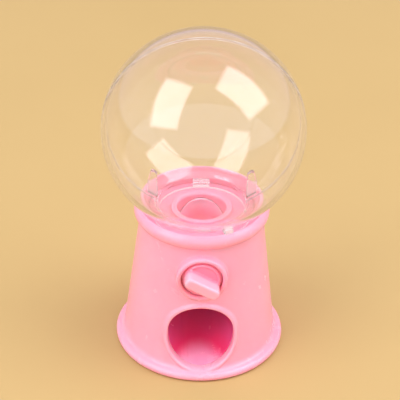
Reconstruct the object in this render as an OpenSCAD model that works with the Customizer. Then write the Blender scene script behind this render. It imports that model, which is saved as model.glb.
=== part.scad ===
// Table-top mini gumball machine: a clear two-part globe on a flared
// moulded base. Turning the knob rolls a scooped drum under the hopper
// throat and drops sweets down a trough to the round mouth in front.
// Origin: middle of the foot, on the table. +Z up, -Y to the front.

/* [Globe] */
// Outside diameter of the clear globe
globe_d = 52; // [50:0.5:54]
// Wall thickness of the globe halves
globe_wall = 1.2; // [1:0.1:1.4]
// Outside diameter of the globe's neck
neck_d = 25.6; // [25.2:0.1:26]
// Wall thickness of the neck
neck_wall = 1.1; // [1:0.1:1.3]
// Width of the two locating lugs on the neck
lug_w = 4.7; // [3.5:0.1:5.5]

/* [Base body] */
// Diameter over the foot flange
foot_d = 45.2; // [44.4:0.2:47]
// Radius of the rounded foot edge
foot_round = 1.15; // [1:0.05:1.2]
// Radius of the flared body where it leaves the foot
body_r_low = 20.5; // [20.2:0.1:20.7]
// Radius of the flared body under the collar
body_r_top = 16.05; // [15.95:0.05:16.2]
// Wall thickness of the body
body_wall = 1.8; // [1.6:0.1:1.9]
// Radius of the half-round bead that forms the collar
bead_r = 2.2; // [2.1:0.05:2.3]

/* [Knob] */
// Height of the knob's axis above the table
knob_z = 29.9; // [29.8:0.1:30]
// Diameter of the turning knob
knob_d = 9.6; // [9:0.1:9.8]
// Length of the grip bar across the knob
grip_len = 9.2; // [7.5:0.1:9.4]
// Thickness of the grip bar
grip_t = 3.1; // [2.4:0.1:3.4]
// How far the grip bar stands out of the knob's face
grip_out = 4.3; // [3.6:0.1:4.6]
// Resting angle of the grip bar, clockwise from level
grip_angle = 30; // [0:1:90]

/* [Mouth and trough] */
// Width of the mouth opening
mouth_d = 17; // [16:0.2:17.4]
// Height of the mouth's centre
mouth_z = 12; // [11.9:0.1:12.2]
// Width of the raised rim round the mouth
mouth_rim = 1.3; // [1:0.1:1.4]
// Slope of the trough floor in degrees
trough_slope = 22; // [20:0.5:24]

/* [Dispensing drum] */
// Diameter of the drum
drum_d = 15.4; // [15:0.1:15.5]
// Radius of the scooped pocket in the drum
pocket_r = 6.3; // [5.6:0.1:6.3]
// Radial clearance of the turning shafts
shaft_gap = 0.05; // [0.02:0.01:0.09]

/* [Hidden] */
$fn = 96;
PINK = [0.97, 0.66, 0.74];
DEEP_PINK = [0.93, 0.45, 0.60];
CLEAR = [0.93, 0.93, 0.95, 0.35];
STEEL = [0.72, 0.73, 0.75];

globe_r = globe_d / 2;
cavity_r = globe_r - globe_wall;
neck_r = neck_d / 2;
neck_in = neck_r - neck_wall;
neck_z0 = 38.3;                      // the neck stands on the hopper floor
neck_join = 41.37;                   // where the neck runs into the globe
globe_z = neck_join + sqrt(globe_r * globe_r - neck_r * neck_r);
lug_reach = 14.9;
nub_angle = 23;                      // moulding nub, from the front towards +X
tab_r = [12, 14.5];                // guide tabs inside the globe: radii,
tab_y = [1.2, 2.4];                  // depths behind the seam
tab_top = 50.4;                      // and top

foot_r = foot_d / 2;
foot_h = 2 * foot_round;
flare = (body_r_low - body_r_top) / 37.3;
function body_r(z) = body_r_low - (z - 2) * flare;
bead_c = [15.5, 40.4];               // centre of the collar bead: radius, height
floor_z = neck_z0;                   // top of the hopper floor
ledge_z = 36.5;                      // ledge that carries the hopper
cover_r = 19.2;
cover_z0 = 0.4;
cover_z1 = 2;
post_r = 15.9;                       // pitch radius of the cover screws
post_angles = [70, 180, 290];        // from the front
boss_r = 6.6;
boss_hole_r = 5.35;
boss_face = 18.3;
knob_face = 18.1;
knob_back = 13.6;
key_w = 2.6;                         // square keys on the spindle's ends
throat_c = 1.2;                      // throat and drum centre, behind the axis
throat_r = 6.6;
throat_out = 8.3;
throat_top = 39.4;
drum_r = drum_d / 2;
drum_len = 14;
drum_gap = 0.2;
drum_y0 = throat_c - drum_len / 2;
drum_y1 = throat_c + drum_len / 2;
pocket_z = 35.9;
spindle_r = 3;
journal_r = 2;
web_t = 1.5;
saddle_t = 1.2;
trough_r = 8.2;
trough_t = 1.2;
trough_end = 2.7;                    // floor height of the trough at the mouth

// ---------- helpers ----------

// Cylinder along the front-to-back axis, between two depths
module rod_y(r, y0, y1, x = 0, z = 0) {
    translate([x, y1, z]) rotate([90, 0, 0]) cylinder(r = r, h = y1 - y0);
}

// Upright rounded outline: two half circles joined by a short straight
module mouth_outline(r, straight = 0.65) {
    translate([0, straight]) circle(r = r);
    translate([0, -straight]) circle(r = r);
    translate([-r, -straight]) square([2 * r, 2 * straight]);
}

// Solid flared body grown outwards by g, between two heights
module flared(g, z0, z1) {
    translate([0, 0, z0])
        cylinder(r1 = body_r(z0) + g, r2 = body_r(z1) + g, h = z1 - z0);
}

// Puts children at each cover screw position
module at_posts() {
    for (a = post_angles)
        translate([post_r * sin(a), -post_r * cos(a), 0]) rotate([0, 0, a - 90]) children();
}

// ---------- base ----------

module shell_outline() {
    // flared wall, filled to the axis, with a fillet where it meets the foot
    polygon(concat(
        [[0, 0], [foot_r - foot_round, 0], [foot_r - foot_round, foot_h]],
        [for (a = [270:-18:180]) [body_r(3.3) + 1 + cos(a), foot_h + 1 + sin(a)]],
        [[body_r(40.4), 40.4], [bead_c[0], bead_c[1] + bead_r], [0, bead_c[1] + bead_r]]));
    translate([foot_r - foot_round, foot_round]) circle(r = foot_round);
    translate(bead_c) circle(r = bead_r);
}

module shell_cavity() {
    rotate_extrude()
        polygon([[0, -1], [cover_r + 0.2, -1], [cover_r + 0.2, cover_z1],
                 [body_r(cover_z1) - body_wall, cover_z1],
                 [body_r(ledge_z) - body_wall, ledge_z],
                 [15.3, ledge_z], [15.3, 39.6], [15.9, 41], [16, 42.35],
                 [16.5, 43.2], [0, 43.2]]);
}

module base_shell() {
    color(PINK) {
        difference() {
            union() {
                rotate_extrude() shell_outline();
                // raised rim that follows the flare round the mouth
                intersection() {
                    translate([0, 0, mouth_z]) rotate([90, 0, 0]) translate([0, 0, 8])
                        linear_extrude(16) mouth_outline(mouth_d / 2 + mouth_rim);
                    flared(0.6, 1, 26);
                }
                // round boss for the knob
                translate([0, 0, knob_z]) rotate([90, 0, 0]) rotate_extrude() {
                    square([boss_r, boss_face - 0.6]);
                    square([boss_r - 0.6, boss_face]);
                    translate([boss_r - 0.6, boss_face - 0.6]) circle(r = 0.6);
                }
            }
            shell_cavity();
            rod_y(boss_hole_r, -30, -8, 0, knob_z);
            translate([0, 0, mouth_z]) rotate([90, 0, 0]) translate([0, 0, 8])
                linear_extrude(24) mouth_outline(mouth_d / 2);
        }
        // posts for the cover screws
        at_posts() difference() {
            union() {
                translate([0, 0, cover_z1]) cylinder(r = 2.2, h = 7);
                translate([0, -0.8, cover_z1]) cube([3, 1.6, 7]);
            }
            translate([0, 0, cover_z1 - 1]) cylinder(r = 1, h = 7);
        }
    }
}

module hopper() {
    color(PINK) difference() {
        union() {
            translate([0, 0, ledge_z]) cylinder(r = 15.2, h = floor_z - ledge_z);
            translate([0, throat_c, ledge_z]) cylinder(r = throat_out, h = throat_top - ledge_z);
            // saddle and end webs round the drum
            intersection() {
                union() {
                    rod_y(drum_r + drum_gap + saddle_t, drum_y0 - 0.4 - web_t,
                          drum_y1 + 0.4 + web_t, 0, knob_z);
                    for (y = [drum_y0 - 0.4 - web_t, drum_y1 + 0.4])
                        translate([-5, y, knob_z - 5]) cube([10, web_t, 6]);
                }
                translate([-20, -20, knob_z - 5]) cube([40, 40, ledge_z + 0.5 - knob_z + 5]);
            }
        }
        // room for the drum
        rod_y(drum_r + drum_gap, drum_y0 - 0.4, drum_y1 + 0.4, 0, knob_z);
        // the saddle stays open below the drum's axis
        translate([-20, drum_y0 - 0.4, knob_z - 20]) cube([40, drum_len + 0.8, 21.5]);
        // throat
        translate([0, throat_c, knob_z]) cylinder(r = throat_r, h = 20);
        // bearings
        rod_y(spindle_r + shaft_gap, -12, 0, 0, knob_z);
        rod_y(journal_r + shaft_gap, 0, 14, 0, knob_z);
    }
}

// Cylinder along the sloping centre line of the trough
module trough_line(r) {
    translate([0, -19, trough_end + trough_r / cos(trough_slope)])
        rotate([trough_slope - 90, 0, 0]) children();
}

module chute_tray() {
    color(PINK) intersection() {
        union() {
            difference() {
                intersection() {
                    union() {
                        trough_line() translate([0, 0, -20]) cylinder(r = trough_r + trough_t, h = 60);
                        // two ribs that stand on the bottom cover
                        for (x = [-4.6, 3.4]) translate([x, -17, cover_z1]) cube([1.2, 28, 22]);
                    }
                    trough_line() translate([-20, 0, -30]) cube([40, 30, 80]);
                }
                trough_line() translate([0, 0, -30]) cylinder(r = trough_r, h = 80);
            }
            // end wall
            translate([-trough_r - trough_t, 10, cover_z1]) cube([2 * (trough_r + trough_t), 1.2, 21.4]);
        }
        // kept inside the body, behind the mouth
        intersection() {
            flared(-body_wall - 0.1, cover_z1, 26);
            translate([-20, -25, cover_z1]) cube([40, 36.2, 26]);
        }
    }
}

module bottom_cover() {
    color(PINK) difference() {
        translate([0, 0, cover_z0]) cylinder(r = cover_r, h = cover_z1 - cover_z0);
        at_posts() {
            translate([0, 0, cover_z0 - 1]) cylinder(r = 1.15, h = 4);
            translate([0, 0, cover_z0 - 0.01]) cylinder(r1 = 2.1, r2 = 1.15, h = 0.9);
        }
    }
}

module cover_screws() {
    color(STEEL) at_posts() difference() {
        union() {
            translate([0, 0, cover_z0 + 0.02]) cylinder(r1 = 2, r2 = 0.9, h = 1);
            translate([0, 0, cover_z0 + 0.5]) cylinder(r = 0.9, h = 6.8);
        }
        // crossed driver slots
        for (a = [0, 90]) rotate([0, 0, a])
            translate([-1.1, -0.22, cover_z0 - 0.5]) cube([2.2, 0.44, 1]);
    }
}

// ---------- turning parts ----------

module knob() {
    color(PINK) difference() {
        union() {
            rod_y(knob_d / 2, -knob_face, -knob_back, 0, knob_z);
            // collar just behind the face, close to the boss
            rod_y(boss_hole_r - 0.15, -knob_face + 0.8, -knob_back, 0, knob_z);
            // grip bar with rounded ends
            intersection() {
                translate([0, 0, knob_z]) rotate([0, grip_angle, 0])
                    translate([-grip_len, -knob_face - grip_out, -grip_t / 2])
                        cube([2 * grip_len, grip_out + 1, grip_t]);
                rod_y(grip_len / 2, -knob_face - grip_out, -knob_back, 0, knob_z);
            }
        }
        // keyed socket for the spindle
        translate([-key_w / 2 - 0.03, -16.4, knob_z - key_w / 2 - 0.03])
            cube([key_w + 0.06, 4, key_w + 0.06]);
    }
}

module spindle() {
    color(PINK) {
        rod_y(spindle_r, -knob_back + 0.02, drum_y0 - 0.02, 0, knob_z);
        translate([-key_w / 2, -16.2, knob_z - key_w / 2])
            cube([key_w, drum_y0 + 2.3 + 16.2, key_w]);
    }
}

module drum() {
    color(DEEP_PINK) difference() {
        union() {
            rod_y(drum_r, drum_y0, drum_y1, 0, knob_z);
            rod_y(journal_r, drum_y1 - 0.5, drum_y1 + 2.4, 0, knob_z);
        }
        // scooped pocket, facing up at rest
        translate([0, throat_c, pocket_z]) sphere(r = pocket_r);
        // keyed socket for the spindle
        translate([-key_w / 2 - 0.03, drum_y0 - 1, knob_z - key_w / 2 - 0.03])
            cube([key_w + 0.06, 3.4, key_w + 0.06]);
        // pilot hole for the screw
        rod_y(0.85, drum_y1 - 3, drum_y1 + 4, 0, knob_z);
    }
}

module thrust_washer() {
    color(STEEL) difference() {
        rod_y(3.4, drum_y1 + 2.4, drum_y1 + 2.9, 0, knob_z);
        rod_y(1, drum_y1 + 2, drum_y1 + 4, 0, knob_z);
    }
}

module drum_screw() {
    color(STEEL) difference() {
        union() {
            rod_y(0.8, drum_y1 - 2.6, drum_y1 + 3, 0, knob_z);
            rod_y(1.8, drum_y1 + 2.9, drum_y1 + 4.1, 0, knob_z);
        }
        for (a = [0, 90]) translate([0, drum_y1 + 3.6, knob_z]) rotate([0, a, 0])
            translate([-1.1, 0, -0.22]) cube([2.2, 1, 0.44]);
    }
}

// ---------- globe ----------

// Inside of globe and neck, shrunk by g
module globe_inside(g) {
    translate([0, 0, globe_z]) rotate([90, 0, 0]) sphere(r = cavity_r - g);
    translate([0, 0, neck_z0 - 1]) cylinder(r = neck_in - g, h = 8);
}

// Upright guide tabs on both sides of the neck, just behind the seam,
// rooted in the wall and sloped along their outer top edge
module guide_tabs() {
    intersection() {
        rotate_extrude() polygon([[tab_r[0], neck_join - 1], [tab_r[1], neck_join - 1],
            [tab_r[1], tab_top - 3.2], [tab_r[1] - 0.9, tab_top],
            [tab_r[0] + 0.8, tab_top], [tab_r[0], tab_top - 0.8]]);
        translate([0, 0, globe_z]) rotate([90, 0, 0]) sphere(r = cavity_r + globe_wall / 2);
        translate([-20, tab_y[0], neck_join - 2])
            cube([40, tab_y[1] - tab_y[0], tab_top - neck_join + 3]);
    }
}

// One half, drawn as the back one
module globe_half() {
    difference() {
        union() {
            translate([0, 0, globe_z]) rotate([90, 0, 0]) sphere(r = globe_r);
            translate([0, 0, neck_z0]) cylinder(r = neck_r, h = 5);
        }
        globe_inside(0);
        translate([-globe_r - 1, -2 * globe_r, 0]) cube([2 * globe_r + 2, 2 * globe_r, 2 * globe_z]);
    }
    // locating lug on the neck
    translate([-lug_w / 2, neck_in + 0.4, neck_z0]) cube([lug_w, lug_reach - neck_in - 0.4, 1.3]);
}

module globe_back() {
    color(CLEAR) {
        globe_half();
        guide_tabs();
    }
}

module globe_front() {
    color(CLEAR) {
        rotate([0, 0, 180]) globe_half();
        // moulding nub that hangs over the collar
        rotate([0, 0, nub_angle - 90]) translate([14.9, -1.2, 42.75]) cube([2.2, 2.4, 1.35]);
    }
}

base_shell();
hopper();
chute_tray();
bottom_cover();
cover_screws();
knob();
spindle();
drum();
thrust_washer();
drum_screw();
globe_front();
globe_back();
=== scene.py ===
import math
import bpy
import numpy as np
from mathutils import Matrix, Vector


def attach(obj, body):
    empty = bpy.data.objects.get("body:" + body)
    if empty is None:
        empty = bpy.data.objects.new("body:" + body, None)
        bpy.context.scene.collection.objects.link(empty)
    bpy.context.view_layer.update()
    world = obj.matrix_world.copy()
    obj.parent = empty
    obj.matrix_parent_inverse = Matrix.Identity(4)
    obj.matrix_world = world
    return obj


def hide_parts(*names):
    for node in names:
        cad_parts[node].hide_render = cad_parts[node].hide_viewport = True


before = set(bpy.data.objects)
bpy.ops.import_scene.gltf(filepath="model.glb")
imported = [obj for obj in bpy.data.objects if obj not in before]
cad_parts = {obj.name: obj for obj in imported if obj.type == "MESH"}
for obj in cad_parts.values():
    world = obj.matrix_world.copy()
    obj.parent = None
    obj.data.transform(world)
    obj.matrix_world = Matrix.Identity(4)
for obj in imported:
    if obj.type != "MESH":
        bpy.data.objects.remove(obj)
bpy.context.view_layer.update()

MM = 0.001
scene = bpy.context.scene
COLL = scene.collection

# ------------------------------------------------------------------ sizes, in mm, as the frame has them
GLOBE_R, GLOBE_WALL = 26.0, 1.2
CAV_R = GLOBE_R - GLOBE_WALL
NECK_R, NECK_IN, NECK_Z0, NECK_JOIN = 12.8, 11.7, 38.3, 41.37
GLOBE_Z = NECK_JOIN + math.sqrt(GLOBE_R ** 2 - NECK_R ** 2)
FOOT_R, FOOT_ROUND = 22.6, 1.15
FLARE = (20.5 - 16.05) / 37.3
KNOB_Z, BOSS_R, BOSS_HOLE, BOSS_FACE = 29.9, 6.6, 5.35, 18.3
KNOB_R, KNOB_FACE, KNOB_BACK = 4.8, 18.1, 13.6
GRIP_T, GRIP_OUT, GRIP_ANGLE = 3.1, 4.3, math.radians(30)
MOUTH_Z, MOUTH_R, MOUTH_STRAIGHT, RIM_W = 12.0, 8.5, 0.65, 1.3
THROAT_C, THROAT_R, THROAT_OUT, THROAT_TOP = 1.2, 6.6, 8.3, 39.4
LEDGE_Z, FLOOR_Z = 36.5, 38.3
DRUM_R, DRUM_LEN, DRUM_GAP = 7.7, 14.0, 0.2
DRUM_Y0, DRUM_Y1 = THROAT_C - 7.0, THROAT_C + 7.0
POCKET_R, POCKET_Z = 6.3, 35.9
TAB_IN, TAB_OUT, TAB_TOP, TAB_Y0, TAB_Y1 = 12.0, 14.5, 50.4, 1.2, 2.4
TROUGH_R, TROUGH_T, TROUGH_END, TROUGH_SLOPE = 8.4, 1.0, 2.7, math.radians(22)


def body_r(z):
    return 20.5 - (z - 2.0) * FLARE


# ------------------------------------------------------------------ distance fields
def smin(a, b, k):
    h = np.clip(0.5 + 0.5 * (b - a) / k, 0.0, 1.0)
    return b + (a - b) * h - k * h * (1.0 - h)


def smax(a, b, k):
    return -smin(-a, -b, k)


def rect(u, v, u0, u1, v0, v1, r=0.0):
    du = np.maximum(u0 - u, u - u1) + r
    dv = np.maximum(v0 - v, v - v1) + r
    return np.hypot(np.maximum(du, 0), np.maximum(dv, 0)) + np.minimum(np.maximum(du, dv), 0) - r


def block(x, y, z, lo, hi, r=0.0):
    dx = np.maximum(lo[0] - x, x - hi[0]) + r
    dy = np.maximum(lo[1] - y, y - hi[1]) + r
    dz = np.maximum(lo[2] - z, z - hi[2]) + r
    out = np.sqrt(np.maximum(dx, 0) ** 2 + np.maximum(dy, 0) ** 2 + np.maximum(dz, 0) ** 2)
    return out + np.minimum(np.maximum(dx, np.maximum(dy, dz)), 0) - r


def poly2d(u, v, pts):
    """Signed distance to a closed polygon."""
    d = np.full(np.broadcast(u, v).shape, 1e9, np.float64)
    s = np.ones(d.shape, np.float64)
    n = len(pts)
    for i in range(n):
        ax, ay = pts[i]
        bx, by = pts[i - 1]
        ex, ey = bx - ax, by - ay
        wx, wy = u - ax, v - ay
        t = np.clip((wx * ex + wy * ey) / (ex * ex + ey * ey), 0, 1)
        d = np.minimum(d, (wx - ex * t) ** 2 + (wy - ey * t) ** 2)
        c1, c2, c3 = v >= ay, v < by, ex * wy > ey * wx
        flip = (c1 & c2 & c3) | (~c1 & ~c2 & ~c3)
        s = np.where(flip, -s, s)
    return s * np.sqrt(d)


def slot2d(x, z, cz, r, straight):
    """Two half circles joined by a short straight, standing upright."""
    dz = np.maximum(np.abs(z - cz) - straight, 0)
    return np.hypot(x, dz) - r


# ------------------------------------------------------------------ meshing a distance field
def surface_net(f, lo, hi, h):
    lo, hi = np.array(lo, float), np.array(hi, float)
    n = np.ceil((hi - lo) / h).astype(int) + 1
    xs, ys, zs = (lo[i] + h * np.arange(n[i]) for i in range(3))
    V = np.empty(tuple(n), np.float32)
    step = max(1, int(1.2e6 // (n[1] * n[2])))
    for i in range(0, n[0], step):
        V[i:i + step] = f(xs[i:i + step, None, None], ys[None, :, None], zs[None, None, :])
    B = V < 0
    c = np.zeros(tuple(n - 1), np.int8)
    for a in (0, 1):
        for b in (0, 1):
            for g in (0, 1):
                c += B[a:n[0] - 1 + a, b:n[1] - 1 + b, g:n[2] - 1 + g]
    act = (c > 0) & (c < 8)
    ids = np.full(act.shape, -1, np.int64)
    idx = np.argwhere(act)
    ids[act] = np.arange(len(idx))
    acc, cnt = np.zeros((len(idx), 3)), np.zeros(len(idx))
    corner = [(a, b, g) for a in (0, 1) for b in (0, 1) for g in (0, 1)]
    vals = {q: V[idx[:, 0] + q[0], idx[:, 1] + q[1], idx[:, 2] + q[2]].astype(float) for q in corner}
    for q in corner:
        for ax in range(3):
            if q[ax]:
                continue
            q2 = list(q)
            q2[ax] = 1
            a, b = vals[q], vals[tuple(q2)]
            m = (a < 0) != (b < 0)
            t = np.where(m, a / np.where(m, a - b, 1), 0)
            p = np.array(q, float)[None, :].repeat(len(idx), 0)
            p[:, ax] += t
            acc[m] += p[m]
            cnt[m] += 1
    P = lo + h * (idx + acc / cnt[:, None])
    quads = []
    for ax in range(3):
        o = [a for a in range(3) if a != ax]
        sl0, sl1 = [slice(None)] * 3, [slice(None)] * 3
        sl0[ax], sl1[ax] = slice(0, -1), slice(1, None)
        for a in o:
            sl0[a] = sl1[a] = slice(1, -1)
        b0, b1 = B[tuple(sl0)], B[tuple(sl1)]
        e = np.argwhere(b0 != b1)
        inside = b0[b0 != b1]
        g = e.copy()
        for a in o:
            g[:, a] += 1

        def cell(da, db):
            k = g.copy()
            k[:, o[0]] -= da
            k[:, o[1]] -= db
            return ids[k[:, 0], k[:, 1], k[:, 2]]

        Q = np.stack([cell(1, 1), cell(0, 1), cell(0, 0), cell(1, 0)], 1)
        flip = inside if ax != 1 else ~inside
        Q[~flip] = Q[~flip][:, ::-1]
        quads.append(Q)
    return P, np.vstack(quads)


def gradient(f, P, e=0.02):
    g = np.empty_like(P)
    for i in range(3):
        d = np.zeros(3)
        d[i] = e
        A, B = P + d, P - d
        g[:, i] = (f(A[:, 0], A[:, 1], A[:, 2]) - f(B[:, 0], B[:, 1], B[:, 2])) / (2 * e)
    return g


def settle(f, P, Q, rounds=2):
    """Moves the points onto the surface and evens them out along it."""
    def project(P, times, cap):
        for _ in range(times):
            v = f(P[:, 0], P[:, 1], P[:, 2])
            g = gradient(f, P)
            s = v / np.maximum((g * g).sum(1), 0.2)
            P = P - g * np.clip(s, -cap, cap)[:, None]
        return P

    e = np.vstack([Q[:, [0, 1]], Q[:, [1, 2]], Q[:, [2, 3]], Q[:, [3, 0]]])
    e = np.vstack([e, e[:, ::-1]])
    deg = np.bincount(e[:, 0], minlength=len(P)).astype(float)
    P = project(P, 2, 0.2)
    for _ in range(rounds):
        s = np.stack([np.bincount(e[:, 0], P[e[:, 1], i], len(P)) for i in range(3)], 1)
        P = P + 0.5 * (s / deg[:, None] - P)
        P = project(P, 2, 0.2)
    return P


def mesh_object(name, P, faces, normals=None, smooth=True):
    me = bpy.data.meshes.new(name)
    F = np.asarray(faces, np.int32)
    me.vertices.add(len(P))
    me.vertices.foreach_set("co", (np.asarray(P, np.float64) * MM).astype(np.float32).ravel())
    me.loops.add(F.size)
    me.loops.foreach_set("vertex_index", F.ravel())
    me.polygons.add(len(F))
    me.polygons.foreach_set("loop_start", np.arange(0, F.size, F.shape[1], dtype=np.int32))
    me.polygons.foreach_set("use_smooth", np.full(len(F), smooth, bool))
    me.update(calc_edges=True)
    me.validate()
    if normals is not None:
        me.normals_split_custom_set_from_vertices(np.asarray(normals, np.float32))
    o = bpy.data.objects.new(name, me)
    COLL.objects.link(o)
    return o


def field_object(name, f, lo, hi, h, rounds=2):
    P, Q = surface_net(f, lo, hi, h)
    P = settle(f, P, Q, rounds)
    n = gradient(f, P, 0.03)
    n /= np.maximum(np.linalg.norm(n, axis=1, keepdims=True), 1e-9)
    # a face that got turned over against the surface is dropped from doubt by its vertices' normals
    return mesh_object(name, P, Q, n)


# ------------------------------------------------------------------ materials
def srgb(r, g, b):
    def c(v):
        v = v / 255.0
        return v / 12.92 if v <= 0.04045 else ((v + 0.055) / 1.055) ** 2.4
    return (c(r), c(g), c(b), 1.0)


class Tree:
    def __init__(self, name):
        self.m = bpy.data.materials.new(name)
        self.m.use_nodes = True
        self.t = self.m.node_tree
        self.t.nodes.clear()
        self.out = self.t.nodes.new("ShaderNodeOutputMaterial")

    def n(self, kind, **kw):
        node = self.t.nodes.new(kind)
        for k, v in kw.items():
            setattr(node, k, v)
        return node

    def l(self, a, b):
        self.t.links.new(a, b)

    def noise(self, scale, detail=3.0, rough=0.5, vec=None, distort=0.0):
        k = self.n("ShaderNodeTexNoise")
        k.inputs["Scale"].default_value = scale
        k.inputs["Detail"].default_value = detail
        k.inputs["Roughness"].default_value = rough
        k.inputs["Distortion"].default_value = distort
        self.l(vec if vec is not None else self.coord(), k.inputs["Vector"])
        return k.outputs["Fac"]

    def coord(self):
        if not hasattr(self, "_c"):
            self._c = self.n("ShaderNodeTexCoord").outputs["Object"]
        return self._c

    def ramp(self, fac, stops):
        r = self.n("ShaderNodeValToRGB")
        while len(r.color_ramp.elements) < len(stops):
            r.color_ramp.elements.new(0.5)
        for e, (p, c) in zip(r.color_ramp.elements, stops):
            e.position = p
            e.color = c if len(c) == 4 else (*c, 1.0)
        self.l(fac, r.inputs["Fac"])
        return r.outputs["Color"]

    def remap(self, fac, a, b, c, d):
        r = self.n("ShaderNodeMapRange")
        for i, v in zip(("From Min", "From Max", "To Min", "To Max"), (a, b, c, d)):
            r.inputs[i].default_value = v
        self.l(fac, r.inputs["Value"])
        return r.outputs["Result"]

    def mix(self, fac, a, b, blend="MIX"):
        r = self.n("ShaderNodeMix", data_type="RGBA", blend_type=blend)
        for sock, v in ((r.inputs["Factor"], fac), (r.inputs["A"], a), (r.inputs["B"], b)):
            pass
        ins = [r.inputs[0], r.inputs[6], r.inputs[7]]
        for s, v in zip(ins, (fac, a, b)):
            if isinstance(v, (int, float, tuple)):
                s.default_value = v
            else:
                self.l(v, s)
        return r.outputs[2]

    def math(self, op, a, b=None):
        r = self.n("ShaderNodeMath", operation=op)
        for s, v in zip(r.inputs, (a, b)):
            if v is None:
                continue
            if isinstance(v, (int, float)):
                s.default_value = v
            else:
                self.l(v, s)
        return r.outputs[0]


def pink_plastic(name, base, deep, rough=(0.20, 0.30), sss=0.35, bump=0.012, grain=2600.0, along=None):
    """Moulded translucent pink plastic: slight colour drift, a fine mould grain and faint rubbed patches.
    along = (axis, from mm, to mm, colour[, to mm, colour]) paints shade: it deepens the colour along one axis of the
    piece, toward the parts that lie in shade."""
    t = Tree(name)
    p = t.n("ShaderNodeBsdfPrincipled")
    cloud = t.noise(70.0, 4.0, 0.55)
    fine = t.noise(420.0, 3.0, 0.6)
    drift = t.mix(t.remap(cloud, 0.3, 0.72, 0.0, 0.6), base, deep)
    tone = t.mix(t.remap(fine, 0.35, 0.7, 0.0, 0.10), drift, deep)
    # painted shade: the colour deepens along one axis, toward the recessed parts of the piece that lie in shade
    if along:
        split = t.n("ShaderNodeSeparateXYZ")
        t.l(t.coord(), split.inputs[0])
        place = t.math("ADD", split.outputs[along[0]], t.math("MULTIPLY", t.math("SUBTRACT", cloud, 0.5), 0.0012))
        depth = t.n("ShaderNodeMapRange", interpolation_type="SMOOTHSTEP")
        for i, v in zip(("From Min", "From Max", "To Min", "To Max"), (along[1] * MM, along[2] * MM, 0.0, 1.0)):
            depth.inputs[i].default_value = v
        t.l(place, depth.inputs["Value"])
        tone = t.mix(depth.outputs["Result"], tone, along[3])
        if len(along) > 4:
            far = t.remap(place, along[2] * MM, along[4] * MM, 0.0, 1.0)
            tone = t.mix(far, tone, along[5])
    t.l(tone, p.inputs["Base Color"])
    rub = t.noise(160.0, 5.0, 0.65, distort=0.4)
    t.l(t.remap(rub, 0.25, 0.75, rough[0], rough[1]), p.inputs["Roughness"])
    p.inputs["IOR"].default_value = 1.5
    p.inputs["Subsurface Weight"].default_value = sss
    p.inputs["Subsurface Radius"].default_value = (1.0, 0.28, 0.34)
    p.inputs["Subsurface Scale"].default_value = 0.0035
    p.inputs["Coat Weight"].default_value = 0.0
    mould = t.noise(grain, 2.0, 0.5)
    wave = t.noise(120.0, 2.0, 0.4)
    height = t.math("ADD", t.math("MULTIPLY", mould, 0.08), t.math("MULTIPLY", wave, 1.0))
    b = t.n("ShaderNodeBump")
    b.inputs["Strength"].default_value = 0.25
    b.inputs["Distance"].default_value = bump * MM * 4
    t.l(height, b.inputs["Height"])
    t.l(b.outputs["Normal"], p.inputs["Normal"])
    t.l(p.outputs["BSDF"], t.out.inputs["Surface"])
    return t.m


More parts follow.
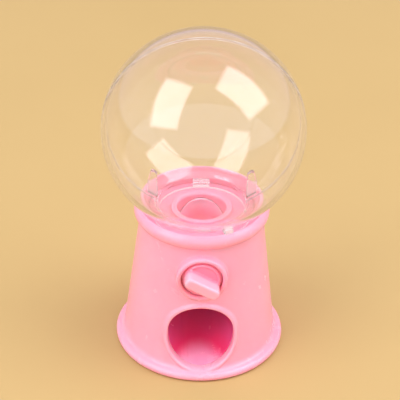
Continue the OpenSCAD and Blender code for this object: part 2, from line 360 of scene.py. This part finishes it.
def clear_plastic(name):
    """Clear polystyrene with faint flow haze and handling marks; it lets lamps through."""
    t = Tree(name)
    p = t.n("ShaderNodeBsdfPrincipled")
    haze = t.noise(55.0, 4.0, 0.6, distort=0.6)
    tint = t.mix(t.remap(haze, 0.35, 0.7, 0.0, 1.0), (0.998, 0.994, 0.995, 1.0), (0.985, 0.978, 0.982, 1.0))
    t.l(tint, p.inputs["Base Color"])
    marks = t.noise(230.0, 6.0, 0.7, distort=1.2)
    t.l(t.remap(marks, 0.62, 0.82, 0.0, 0.05), p.inputs["Roughness"])
    p.inputs["IOR"].default_value = 1.57
    p.inputs["Transmission Weight"].default_value = 1.0
    swirl = t.noise(38.0, 2.0, 0.4, distort=0.8)
    b = t.n("ShaderNodeBump")
    b.inputs["Strength"].default_value = 0.12
    b.inputs["Distance"].default_value = 0.00012
    t.l(swirl, b.inputs["Height"])
    t.l(b.outputs["Normal"], p.inputs["Normal"])
    frost = t.n("ShaderNodeBsdfPrincipled")
    frost.inputs["Base Color"].default_value = (0.93, 0.90, 0.91, 1.0)
    t.l(t.remap(t.noise(1800.0, 3.0), 0.3, 0.7, 0.35, 0.6), frost.inputs["Roughness"])
    frost.inputs["IOR"].default_value = 1.57
    frost.inputs["Transmission Weight"].default_value = 0.35
    split = t.n("ShaderNodeSeparateXYZ")
    t.l(t.coord(), split.inputs[0])
    end = t.n("ShaderNodeMapRange", interpolation_type="SMOOTHSTEP")
    for i, v in zip(("From Min", "From Max", "To Min", "To Max"), (38.9 * MM, 38.45 * MM, 0.0, 0.9)):
        end.inputs[i].default_value = v
    t.l(split.outputs["Z"], end.inputs["Value"])
    # the moulding nub's gate mark
    far = t.n("ShaderNodeVectorMath", operation="DISTANCE")
    t.l(t.coord(), far.inputs[0])
    far.inputs[1].default_value = (16.3 * math.sin(math.radians(23)) * MM, -16.3 * math.cos(math.radians(23)) * MM, 43.4 * MM)
    gate = t.remap(far.outputs["Value"], 1.7 * MM, 1.3 * MM, 0.0, 0.35)
    # the guide tabs are a little hazy
    flat = t.n("ShaderNodeVectorMath", operation="MULTIPLY")
    t.l(t.coord(), flat.inputs[0])
    flat.inputs[1].default_value = (1.0, 1.0, 0.0)
    out = t.n("ShaderNodeVectorMath", operation="LENGTH")
    t.l(flat.outputs["Vector"], out.inputs[0])
    in_r = t.math("LESS_THAN", out.outputs["Value"], 14.62 * MM)
    in_z = t.math("LESS_THAN", t.math("ABSOLUTE", t.math("SUBTRACT", split.outputs["Z"], 45.0 * MM)), 2.4 * MM)
    in_y = t.math("LESS_THAN", t.math("ABSOLUTE", t.math("SUBTRACT", split.outputs["Y"], 1.8 * MM)), 0.9 * MM)
    tabs = t.math("MULTIPLY", t.math("MULTIPLY", in_y, t.math("MULTIPLY", in_r, in_z)), 0.3)
    # painted highlight: a thin whitish frosted band along the seam, broken by noise, stands in for light caught by
    # the seam ridge
    bead = t.remap(t.math("ABSOLUTE", split.outputs["Y"]), 0.24 * MM, 0.14 * MM, 0.0, 1.0)
    broken = t.remap(t.noise(260.0, 3.0, 0.6), 0.35, 0.65, 0.35, 0.85)
    mask = t.math("MAXIMUM", t.math("MAXIMUM", end.outputs["Result"], gate),
                  t.math("MAXIMUM", tabs, t.math("MULTIPLY", bead, broken)))
    body = t.n("ShaderNodeMixShader")
    t.l(mask, body.inputs[0])
    t.l(p.outputs["BSDF"], body.inputs[1])
    t.l(frost.outputs["BSDF"], body.inputs[2])
    # the two halves are welded: light passes the seam faces nearly straight
    weld = t.n("ShaderNodeBsdfTransparent")
    weld.inputs["Color"].default_value = (0.97, 0.95, 0.955, 1.0)
    near = t.math("LESS_THAN", t.math("ABSOLUTE", split.outputs["Y"]), 0.04 * MM)
    joined = t.n("ShaderNodeMixShader")
    t.l(t.math("MULTIPLY", near, 0.9), joined.inputs[0])
    milk = t.n("ShaderNodeBsdfTranslucent")
    milk.inputs["Color"].default_value = (0.98, 0.94, 0.95, 1.0)
    haze_and_sheen_diffuse = t.n("ShaderNodeBsdfDiffuse")
    haze_and_sheen_diffuse.inputs["Color"].default_value = (0.98, 0.94, 0.95, 1.0)
    pale = t.n("ShaderNodeMixShader")
    pale.inputs[0].default_value = 0.5
    t.l(milk.outputs["BSDF"], pale.inputs[1])
    t.l(haze_and_sheen_diffuse.outputs["BSDF"], pale.inputs[2])
    # painted sheen: a whitish layer is mixed in toward grazing angles and brightens the globe's limbs; the small
    # haze-driven part is the plastic's own flow haze
    lw = t.n("ShaderNodeLayerWeight")
    lw.inputs["Blend"].default_value = 0.5
    rim = t.math("MULTIPLY", t.math("POWER", lw.outputs["Facing"], 3.0), 0.15)
    veil = t.n("ShaderNodeMixShader")
    t.l(t.math("ADD", rim, t.remap(haze, 0.3, 0.7, 0.003, 0.010)), veil.inputs[0])
    t.l(body.outputs["Shader"], veil.inputs[1])
    t.l(pale.outputs["Shader"], veil.inputs[2])
    t.l(veil.outputs["Shader"], joined.inputs[1])
    t.l(weld.outputs["BSDF"], joined.inputs[2])
    see = t.n("ShaderNodeBsdfTransparent")
    see.inputs["Color"].default_value = (0.93, 0.92, 0.925, 1.0)
    path = t.n("ShaderNodeLightPath")
    mix = t.n("ShaderNodeMixShader")
    t.l(t.math("MAXIMUM", path.outputs["Is Shadow Ray"], path.outputs["Is Diffuse Ray"]), mix.inputs[0])
    t.l(joined.outputs["Shader"], mix.inputs[1])
    t.l(see.outputs["BSDF"], mix.inputs[2])
    t.l(mix.outputs["Shader"], t.out.inputs["Surface"])
    return t.m


def zinc(name):
    t = Tree(name)
    p = t.n("ShaderNodeBsdfPrincipled")
    blotch = t.noise(900.0, 4.0, 0.6)
    t.l(t.mix(t.remap(blotch, 0.3, 0.7, 0, 1), (0.55, 0.56, 0.58, 1), (0.72, 0.73, 0.74, 1)), p.inputs["Base Color"])
    p.inputs["Metallic"].default_value = 1.0
    t.l(t.remap(t.noise(2500.0, 3.0), 0.3, 0.7, 0.28, 0.45), p.inputs["Roughness"])
    b = t.n("ShaderNodeBump")
    b.inputs["Strength"].default_value = 0.3
    b.inputs["Distance"].default_value = 0.00003
    t.l(t.noise(3000.0, 2.0), b.inputs["Height"])
    t.l(b.outputs["Normal"], p.inputs["Normal"])
    t.l(p.outputs["BSDF"], t.out.inputs["Surface"])
    return t.m


BODY_PINK = pink_plastic("body_pink", srgb(254, 167, 189), srgb(254, 160, 183), sss=0.6)
INNER_PINK = pink_plastic("inner_pink", srgb(254, 160, 184), srgb(254, 152, 178), sss=0.6)
# painted shade: the trough's pink is deeper than the body's, stays lighter below 3.6 mm at the lit mouth, and turns
# deep magenta by 6.2 mm inside the chute
TROUGH_PINK = pink_plastic("trough_pink", srgb(254, 148, 180), srgb(254, 134, 170), sss=0.6,
                           along=("Z", 3.6, 6.2, srgb(254, 58, 112), 10.0, srgb(254, 88, 148)))
# painted light and shade: the knob's pink is lighter than the body's on the grip bar, and deepens from the bar's
# front (y -19.6 mm) back to the shaded disc face (y -18.3 mm)
KNOB_PINK = pink_plastic("knob_pink", srgb(254, 177, 196), srgb(254, 170, 190), rough=(0.20, 0.30), sss=0.6,
                         along=("Y", -19.6, -18.3, srgb(254, 143, 170)))
# painted light and shade: the drum's pink is lighter than the body's on its top, seen in the throat, and deepens
# downward from z 37.2 mm to 31 mm in the shaded pocket
DRUM_PINK = pink_plastic("drum_pink", srgb(254, 198, 218), srgb(254, 190, 212), sss=0.6,
                         along=("Z", 37.2, 31.0, srgb(254, 112, 158)))
COVER_PINK = pink_plastic("cover_pink", srgb(254, 152, 174), srgb(253, 144, 167), rough=(0.42, 0.55), bump=0.03, grain=1500.0)
CLEAR = clear_plastic("clear_plastic")
ZINC = zinc("zinc_steel")


def finish_piece(o, material, body, slot, *nodes):
    o.data.materials.clear()
    o.data.materials.append(material)
    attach(o, body)
    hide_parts(*nodes)
    return o


# ------------------------------------------------------------------ base shell
def posts(x, y, z):
    d = None
    for a in (70, 180, 290):
        a = math.radians(a)
        px, py = 15.9 * math.sin(a), -15.9 * math.cos(a)
        u = (x - px) * math.sin(a) - (y - py) * math.cos(a)
        v = (x - px) * math.cos(a) + (y - py) * math.sin(a)
        rr = np.hypot(u, v)
        post = np.maximum(rr - 2.2, np.maximum(2.0 - z, z - 9.0))
        rib = block(u, v, z, (0, -0.8, 2.0), (3.0, 0.8, 9.0))
        one = np.maximum(smin(post, rib, 0.4), -np.maximum(rr - 1.0, z - 8.0))
        d = one if d is None else np.minimum(d, one)
    return d


CAVITY = [(0, -3), (19.4, -3), (19.4, 2.0), (body_r(2) - 1.8, 2.0), (body_r(LEDGE_Z) - 1.8, LEDGE_Z),
          (15.3, LEDGE_Z), (15.3, 39.6), (15.9, 41.0), (16.0, 42.2), (16.9, 44.5), (16.9, 50), (0, 50)]


def base_field(x, y, z):
    r = np.hypot(x, y)
    cone = (r - body_r(z)) * 0.993
    cone = np.maximum(cone, z - 40.6)
    foot = np.hypot(np.maximum(r - (FOOT_R - FOOT_ROUND), 0), z - FOOT_ROUND) - FOOT_ROUND
    outer = smin(cone, foot, 1.5)
    bead = np.hypot(r - 15.5, z - 40.4) - 2.2
    bead = np.where(r < 15.5, np.maximum(np.abs(z - 40.4) - 2.2, -2.2), bead)
    outer = smin(outer, bead, 0.3)
    # rounded bead round the mouth, following the flare
    ring = slot2d(x, z, MOUTH_Z, MOUTH_R + RIM_W / 2, MOUTH_STRAIGHT)
    skin = (r - body_r(z)) * 0.993
    rim = np.hypot(ring, skin + 0.05) - 0.68
    rim = np.maximum(rim, y + 8)
    outer = smin(outer, rim, 0.4)
    # knob boss
    rb = np.hypot(x, z - KNOB_Z)
    half = (BOSS_R - BOSS_HOLE) / 2
    boss = rect(rb, y, -1.0, BOSS_R, -BOSS_FACE + half, -11.0)
    outer = smin(outer, boss, 0.4)
    inner = poly2d(r, z, CAVITY)
    shell = smax(outer, -inner, 0.3)
    hole = np.maximum(rb - BOSS_HOLE, y + 8)
    shell = np.maximum(shell, -hole)
    shell = np.minimum(shell, rect(rb, y, BOSS_HOLE, BOSS_R, -BOSS_FACE, -15.2, half - 0.01))
    mouth = np.maximum(slot2d(x, z, MOUTH_Z, MOUTH_R, MOUTH_STRAIGHT), y + 8)
    shell = smax(shell, -mouth, np.where(r > body_r(z) - 0.9, 0.5, 0.08))
    shell = np.minimum(shell, posts(x, y, z))
    return np.maximum(shell, -z)


base = field_object("base_shell_body", base_field, (-23.1, -23.1, -0.5), (23.1, 23.1, 43.1), 0.34, 8)
finish_piece(base, BODY_PINK, "base", "body_pink", "base_shell")


# ------------------------------------------------------------------ hopper
def hopper_field(x, y, z):
    r = np.hypot(x, y)
    rt = np.hypot(x, y - THROAT_C)
    rd = np.hypot(x, z - KNOB_Z)
    disc = rect(r, z, -1.0, 15.2, LEDGE_Z, FLOOR_Z, 0.2)
    ring = rect(rt, z, -1.0, THROAT_OUT, LEDGE_Z, THROAT_TOP, 0.25)
    d = smin(disc, ring, 0.3)
    saddle = np.maximum(rd - (DRUM_R + DRUM_GAP + 1.2), np.maximum(DRUM_Y0 - 1.9 - y, y - DRUM_Y1 - 1.9))
    saddle = np.maximum(saddle, np.maximum(KNOB_Z + 1.5 - z, z - LEDGE_Z - 0.5))
    d = smin(d, saddle, 0.4)
    for y0 in (DRUM_Y0 - 1.9, DRUM_Y1 + 0.4):
        web = np.maximum(rd - (DRUM_R + DRUM_GAP + 1.2), np.maximum(KNOB_Z - 5 - z, z - LEDGE_Z - 0.5))
        web = np.maximum(np.minimum(web, np.maximum(np.abs(x) - 5, np.maximum(KNOB_Z - 5 - z, z - KNOB_Z - 1))),
                         np.maximum(y0 - y, y - y0 - 1.5))
        d = np.minimum(d, web)
    room = np.maximum(rd - (DRUM_R + 0.07), np.maximum(DRUM_Y0 - 0.4 - y, y - DRUM_Y1 - 0.4))
    d = smax(d, -room, 0.05)
    # the throat's edge is crisp in front and rolls over at the back
    roll = 0.3 + 0.9 * np.clip((y - THROAT_C) / 5.0, 0, 1) * np.ones_like(rt)
    d = smax(d, -np.maximum(rt - THROAT_R, KNOB_Z - z), np.where(z > 38.5, roll, 0.05))
    d = np.maximum(d, -np.maximum(rd - 3.05, np.maximum(-12 - y, y)))
    d = np.maximum(d, -np.maximum(rd - 2.05, np.maximum(-y, y - 14)))
    return d


hop = field_object("hopper_floor", hopper_field, (-15.7, -15.7, 24.3), (15.7, 15.7, 39.9), 0.3)
finish_piece(hop, INNER_PINK, "base", "inner_pink", "hopper")


# ------------------------------------------------------------------ trough
def trough_field(x, y, z):
    rise = math.tan(TROUGH_SLOPE) * (y + np.sqrt(np.maximum(18.4 ** 2 - x * x, 0)))
    rr = slot2d(x, z - rise, MOUTH_Z, MOUTH_R - 0.03, MOUTH_STRAIGHT) * 0.93      # follows the mouth's outline
    above = (z - rise - MOUTH_Z) * 0.93
    pipe = smax(np.maximum(-rr, rr - TROUGH_T + 0.08), above, 0.3)
    ribs = np.minimum(np.abs(x + 4.0) - 0.6, np.abs(x - 4.0) - 0.6)
    ribs = np.maximum(ribs, np.maximum(np.maximum(-17.0 - y, y - 11.0), above))
    ribs = np.maximum(ribs, -rr)
    d = smin(pipe, ribs, 0.3)
    end = block(x, y, z, (-TROUGH_R - TROUGH_T, 10.0, 1.0), (TROUGH_R + TROUGH_T, 11.2, 23.4), 0.2)
    d = smin(d, end, 0.6)
    r = np.hypot(x, y)
    room = (r - (body_r(z) - 1.85)) * 0.993
    d = smax(d, room, 0.05)
    return smax(d, 2.0 - z, 0.2)


tray = field_object("chute_trough", trough_field, (-10.0, -19.2, 1.5), (10.0, 11.8, 24.2), 0.3, 6)
finish_piece(tray, TROUGH_PINK, "base", "inner_pink", "chute_tray")


# ------------------------------------------------------------------ drum
def drum_field(x, y, z):
    rd = np.hypot(x, z - KNOB_Z)
    d = rect(rd, y, -1.0, DRUM_R, DRUM_Y0, DRUM_Y1, 0.3)
    jr = np.maximum(rd - 2.0, np.maximum(DRUM_Y1 - 0.5 - y, y - DRUM_Y1 - 2.4))
    d = np.minimum(d, jr)
    pocket = np.sqrt(x * x + (y - THROAT_C) ** 2 + (z - POCKET_Z) ** 2) - POCKET_R
    d = smax(d, -pocket, 0.1)
    key = np.maximum(np.maximum(np.abs(x), np.abs(z - KNOB_Z)) - 1.33, np.maximum(DRUM_Y0 - 1 - y, y - DRUM_Y0 - 2.4))
    d = np.maximum(d, -key)
    return np.maximum(d, -np.maximum(rd - 0.85, DRUM_Y1 - 3 - y))


drum = field_object("dispensing_drum", drum_field, (-8.2, -6.3, 21.7), (8.2, 11.1, 38.2), 0.28)
finish_piece(drum, DRUM_PINK, "dispenser", "drum_pink", "drum")


# ------------------------------------------------------------------ knob
def knob_field(x, y, z):
    u, w = x, z - KNOB_Z
    rd = np.hypot(u, w)
    disc = rect(rd, y, -1.0, KNOB_R, -KNOB_FACE, -KNOB_BACK, 0.5)
    disc = smin(disc, rect(rd, y, -1.0, BOSS_HOLE - 0.15, -KNOB_FACE + 0.8, -KNOB_BACK, 0.15), 0.15)
    # shallow dish in the face
    dish = np.maximum(rd - 3.9, -KNOB_FACE - 1 - y)
    dish = np.maximum(dish, y + KNOB_FACE - 0.25)
    disc = smax(disc, -dish, 0.5)
    ca, sa = math.cos(GRIP_ANGLE), math.sin(GRIP_ANGLE)
    across = u * sa + w * ca
    bar = smax(np.abs(across) - GRIP_T / 2, rd - KNOB_R, 1.2)
    bar = smax(bar, -KNOB_FACE - GRIP_OUT - y, 0.7)
    bar = np.maximum(bar, y + 14.5)
    d = smin(disc, bar, 0.35)
    key = np.maximum(np.maximum(np.abs(u), np.abs(w)) - 1.33, -16.4 - y)
    return np.maximum(d, -key)


knob = field_object("turning_knob", knob_field, (-5.6, -22.9, 24.3), (5.6, -13.2, 35.5), 0.16)
finish_piece(knob, KNOB_PINK, "dispenser", "knob_pink", "knob")


# ------------------------------------------------------------------ globe halves
def inner_r(z, g):
    """Radius of the inside of globe and neck at height z, shrunk by g."""
    s = (CAV_R - g) ** 2 - (z - GLOBE_Z) ** 2
    return max(NECK_IN - g, math.sqrt(s) if s > 0 else 0.0)


def lathe_half(name, side):
    """Half of the globe with its neck, y on the given side. The seam faces stand 0.02 mm back from the middle."""
    gap = 0.02
    prof = []           # (r, z), outside from the top down, then the inside back up
    n = 120

    def fillet(ball, neck, q, steps=8):
        """Arc between ball and neck, with the angle from the top at which the ball ends."""
        cr, cd = neck + q, ball + q
        cz = GLOBE_Z - math.sqrt(cd * cd - cr * cr)
        lean = math.asin(cr / cd)
        pts = [(cr - q * math.sin(lean + (math.pi / 2 - lean) * k / steps),
                cz + q * math.cos(lean + (math.pi / 2 - lean) * k / steps)) for k in range(steps + 1)]
        return math.pi - lean, pts

    a1, arc = fillet(GLOBE_R, NECK_R, 1.0)
    for i in range(1, n):
        a = a1 * i / n
        prof.append((GLOBE_R * math.sin(a), GLOBE_Z + GLOBE_R * math.cos(a)))
    prof += arc
    prof.append((NECK_R, 39.5))
    for k in range(5):
        a = math.pi / 2 * k / 4
        prof.append((NECK_R - 0.35 + 0.35 * math.cos(a), NECK_Z0 + 0.35 - 0.35 * math.sin(a)))
    for k in range(5):
        a = math.pi / 2 * k / 4
        prof.append((NECK_IN + 0.35 - 0.35 * math.sin(a), NECK_Z0 + 0.35 - 0.35 * math.cos(a)))
    prof.append((NECK_IN, 39.5))
    b1, arc = fillet(CAV_R, NECK_IN, 2.1)
    prof += arc[::-1]
    for i in range(n - 1, 0, -1):
        a = b1 * i / n
        prof.append((CAV_R * math.sin(a), GLOBE_Z + CAV_R * math.cos(a)))
    m = 132
    V, F = [], []
    V.append((0.0, side * gap, GLOBE_Z + GLOBE_R))
    V.append((0.0, side * gap, GLOBE_Z + CAV_R))
    base_i = 2
    K = len(prof)
    for j in range(m + 1):
        t = math.pi * j / m
        for (r, z) in prof:
            x, y = r * math.cos(t), r * math.sin(t)
            y = max(y, gap)
            V.append((x, side * y, z))
    for j in range(m):
        p, q = base_i + j * K, base_i + (j + 1) * K
        F.append((0, p, q, 0) if False else (0, p, q))
        for k in range(K - 1):
            F.append((p + k, p + k + 1, q + k + 1, q + k))
        F.append((p + K - 1, 1, q + K - 1))
    # seam faces: outside ring k joins inside ring K-1-k
    for j, turn in ((0, False), (m, True)):
        p = base_i + j * K
        half = K // 2
        for k in range(half - 1):
            quad = (p + k, p + k + 1, p + K - 2 - k, p + K - 1 - k)
            F.append(quad if turn else quad[::-1])
        quad = (0, p, p + K - 1, 1)
        F.append(quad if turn else quad[::-1])
    me = bpy.data.meshes.new(name)
    me.from_pydata([tuple(c * MM for c in v) for v in V], [], F)
    me.validate()
    me.update()
    o = bpy.data.objects.new(name, me)
    COLL.objects.link(o)
    if side > 0:
        me.flip_normals()
    return o


def box_piece(name, lo, hi, r, spin=0.0, h=0.15):
    ca, sa = math.cos(spin), math.sin(spin)

    def f(x, y, z):
        u, v = x * ca + y * sa, -x * sa + y * ca
        return block(u, v, z, lo, hi, r)
    R = max(abs(lo[0]), abs(hi[0])) + max(abs(lo[1]), abs(hi[1]))
    c = np.array([(lo[0] + hi[0]) / 2 * ca - (lo[1] + hi[1]) / 2 * sa, (lo[0] + hi[0]) / 2 * sa + (lo[1] + hi[1]) / 2 * ca])
    e = math.hypot(hi[0] - lo[0], hi[1] - lo[1]) / 2 + 3 * h
    return field_object(name, f, (c[0] - e, c[1] - e, lo[2] - 3 * h), (c[0] + e, c[1] + e, hi[2] + 3 * h), h)


def tab(name, side):
    """Upright guide tab beside the neck, on the back half's wall just behind the seam."""
    def f(x, y, z):
        x = x * side
        r = np.hypot(x, y)
        d = poly2d(r, z, [(TAB_IN, 38.0), (TAB_OUT, 38.0), (TAB_OUT, TAB_TOP - 3.2), (TAB_OUT - 0.9, TAB_TOP),
                          (TAB_IN + 0.8, TAB_TOP), (TAB_IN, TAB_TOP - 0.8)])
        d = smax(d, np.maximum(TAB_Y0 - y, y - TAB_Y1), 0.12)
        d = np.maximum(d, -x)
        rs = np.sqrt(x * x + y * y + (z - GLOBE_Z) ** 2)
        return np.maximum(d, rs - (CAV_R + 0.6))
    lo, hi = (TAB_IN - 0.8, TAB_Y0 - 0.6, 41.0), (TAB_OUT + 0.6, TAB_Y1 + 0.6, TAB_TOP + 0.6)
    if side < 0:
        lo, hi = (-hi[0], lo[1], lo[2]), (-lo[0], hi[1], hi[2])
    return field_object(name, f, lo, hi, 0.1)


def apply_modifiers(o):
    bpy.context.view_layer.update()
    dg = bpy.context.evaluated_depsgraph_get()
    me = bpy.data.meshes.new_from_object(o.evaluated_get(dg))
    o.modifiers.clear()
    old = o.data
    o.data = me
    me.name = o.name
    bpy.data.meshes.remove(old)


def unite(o, others):
    for k in others:
        m = o.modifiers.new("u", "BOOLEAN")
        m.operation = "UNION"
        m.solver = "EXACT"
        m.object = k
    apply_modifiers(o)
    for k in others:
        bpy.data.objects.remove(k)


def soften(o, width, angle=40, segments=2):
    m = o.modifiers.new("b", "BEVEL")
    m.width = width * MM
    m.segments = segments
    m.limit_method = "ANGLE"
    m.angle_limit = math.radians(angle)
    m.use_clamp_overlap = True
    apply_modifiers(o)


def smooth_by_angle(o, degrees):
    for p in o.data.polygons:
        p.use_smooth = True
    o.data.set_sharp_from_angle(angle=math.radians(degrees))


for name, side, node in (("globe_half_back", 1, "globe_back"), ("globe_half_front", -1, "globe_front")):
    half = lathe_half(name, side)
    add = []
    if side > 0:
        add += [tab("t", 1), tab("u", -1)]
        add.append(box_piece("l", (-2.35, NECK_IN + 0.4, NECK_Z0 + 0.02), (2.35, 14.9, NECK_Z0 + 1.3), 0.2))
    else:
        add.append(box_piece("l", (-2.35, -14.9, NECK_Z0 + 0.02), (2.35, -NECK_IN - 0.4, NECK_Z0 + 1.3), 0.2))
        add.append(box_piece("n", (14.9, -1.2, 42.75), (17.1, 1.2, 44.1), 0.15, math.radians(23 - 90)))
    unite(half, add)
    soften(half, 0.09, 50, 2)
    smooth_by_angle(half, 42)
    finish_piece(half, CLEAR, "globe", "clear_plastic", node)


# ------------------------------------------------------------------ pieces whose CAD shape is right
for node, material in (("bottom_cover", COVER_PINK), ("cover_screws", ZINC), ("spindle", INNER_PINK),
                       ("thrust_washer", ZINC), ("drum_screw", ZINC)):
    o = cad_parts[node]
    for s in o.material_slots:
        s.material = material
    if not o.material_slots:
        o.data.materials.append(material)


# ------------------------------------------------------------------ stage
def floor_material():
    t = Tree("pale_floor")
    p = t.n("ShaderNodeBsdfPrincipled")
    c = t.mix(t.remap(t.noise(9.0, 3.0, 0.5), 0.3, 0.7, 0, 1), srgb(186, 160, 106), srgb(182, 156, 102))
    t.l(c, p.inputs["Base Color"])
    p.inputs["Roughness"].default_value = 0.6
    b = t.n("ShaderNodeBump")
    b.inputs["Strength"].default_value = 0.05
    b.inputs["Distance"].default_value = 0.0002
    t.l(t.noise(600.0, 3.0), b.inputs["Height"])
    t.l(b.outputs["Normal"], p.inputs["Normal"])
    t.l(p.outputs["BSDF"], t.out.inputs["Surface"])
    return t.m


floor_me = bpy.data.meshes.new("floor")
S = 3.0
floor_me.from_pydata([(-S, -S, 0), (S, -S, 0), (S, S, 0), (-S, S, 0)], [], [(0, 1, 2, 3)])
floor = bpy.data.objects.new("floor", floor_me)
floor_me.materials.append(floor_material())
COLL.objects.link(floor)

world = bpy.data.worlds.new("studio")
scene.world = world
world.use_nodes = True
bg = world.node_tree.nodes["Background"]
wt = world.node_tree
way = wt.nodes.new("ShaderNodeTexCoord")
axes = wt.nodes.new("ShaderNodeSeparateXYZ")
wt.links.new(way.outputs["Generated"], axes.inputs[0])
back = wt.nodes.new("ShaderNodeMapRange")
back.interpolation_type = "SMOOTHSTEP"
for i, v in zip(("From Min", "From Max", "To Min", "To Max"), (-0.2, 0.9, 0.0, 1.0)):
    back.inputs[i].default_value = v
wt.links.new(axes.outputs["Y"], back.inputs["Value"])
shade = wt.nodes.new("ShaderNodeMix")
shade.data_type = "RGBA"
wt.links.new(back.outputs["Result"], shade.inputs[0])
shade.inputs[6].default_value = (1.16, 1.15, 1.16, 1.0)
shade.inputs[7].default_value = (0.72, 0.54, 0.50, 1.0)
wt.links.new(shade.outputs[2], bg.inputs["Color"])
bg.inputs["Strength"].default_value = 1.0


def softbox(name, centre, target, size, power, spin=0.0, color=(1, 1, 1)):
    l = bpy.data.lights.new(name, "AREA")
    l.shape = "RECTANGLE"
    l.size, l.size_y = size
    l.energy = power
    l.color = color
    o = bpy.data.objects.new(name, l)
    COLL.objects.link(o)
    d = (Vector(target) - Vector(centre)).normalized()
    q = d.to_track_quat("-Z", "Y")
    o.rotation_euler = (q.to_matrix().to_4x4() @ Matrix.Rotation(spin, 4, "Z")).to_euler()
    o.location = centre
    return o


def toward(az, el, dist):
    a, e = math.radians(az), math.radians(el)
    return (dist * math.cos(e) * math.sin(a), -dist * math.cos(e) * math.cos(a), 0.064 + dist * math.sin(e))


# each softbox is a stack of three sheets, so that its reflection has a soft edge
for name, az, el, spin, wide, high in (("softbox_left", -61, 45, 24, 0.42, 0.64), ("softbox_right", 82, 51, -10, 0.45, 0.62)):
    for k, grow in enumerate((1.07, 1.0, 0.93)):
        softbox("%s_%d" % (name, k), toward(az, el, 0.7 + 0.002 * k), (0, 0, 0.064),
                (wide * grow, high * grow), 11.3 * wide * high / 3 * grow * grow, math.radians(spin), (1.0, 0.955, 1.02))

# ------------------------------------------------------------------ camera
F_PX, DIST, PITCH, YAW, ROLL, CZ, AZ = 1546.1, 402.39, 33.309, -0.088, 1.306, 42.646, -1.540
pitch, yaw, roll, az = (math.radians(v) for v in (PITCH, YAW - AZ, ROLL, AZ))
C = Vector((DIST * math.cos(pitch) * math.sin(az), -DIST * math.cos(pitch) * math.cos(az), CZ + DIST * math.sin(pitch))) * MM
fwd = Vector((math.sin(yaw) * math.cos(pitch), math.cos(yaw) * math.cos(pitch), -math.sin(pitch)))
right = fwd.cross(Vector((0, 0, 1))).normalized()
up = right.cross(fwd)
r2 = math.cos(roll) * right + math.sin(roll) * up
u2 = -math.sin(roll) * right + math.cos(roll) * up
cam_data = bpy.data.cameras.new("camera")
cam_data.sensor_width = 36.0
cam_data.sensor_fit = "HORIZONTAL"
cam_data.lens = 36.0 * F_PX / 400.0
cam_data.clip_start, cam_data.clip_end = 0.01, 20.0
cam = bpy.data.objects.new("camera", cam_data)
COLL.objects.link(cam)
cam.matrix_world = Matrix((
    (r2.x, u2.x, -fwd.x, C.x),
    (r2.y, u2.y, -fwd.y, C.y),
    (r2.z, u2.z, -fwd.z, C.z),
    (0, 0, 0, 1)))
scene.camera = cam
scene.view_settings.view_transform = "Standard"
scene.view_settings.look = "None"
scene.view_settings.exposure = 0.0
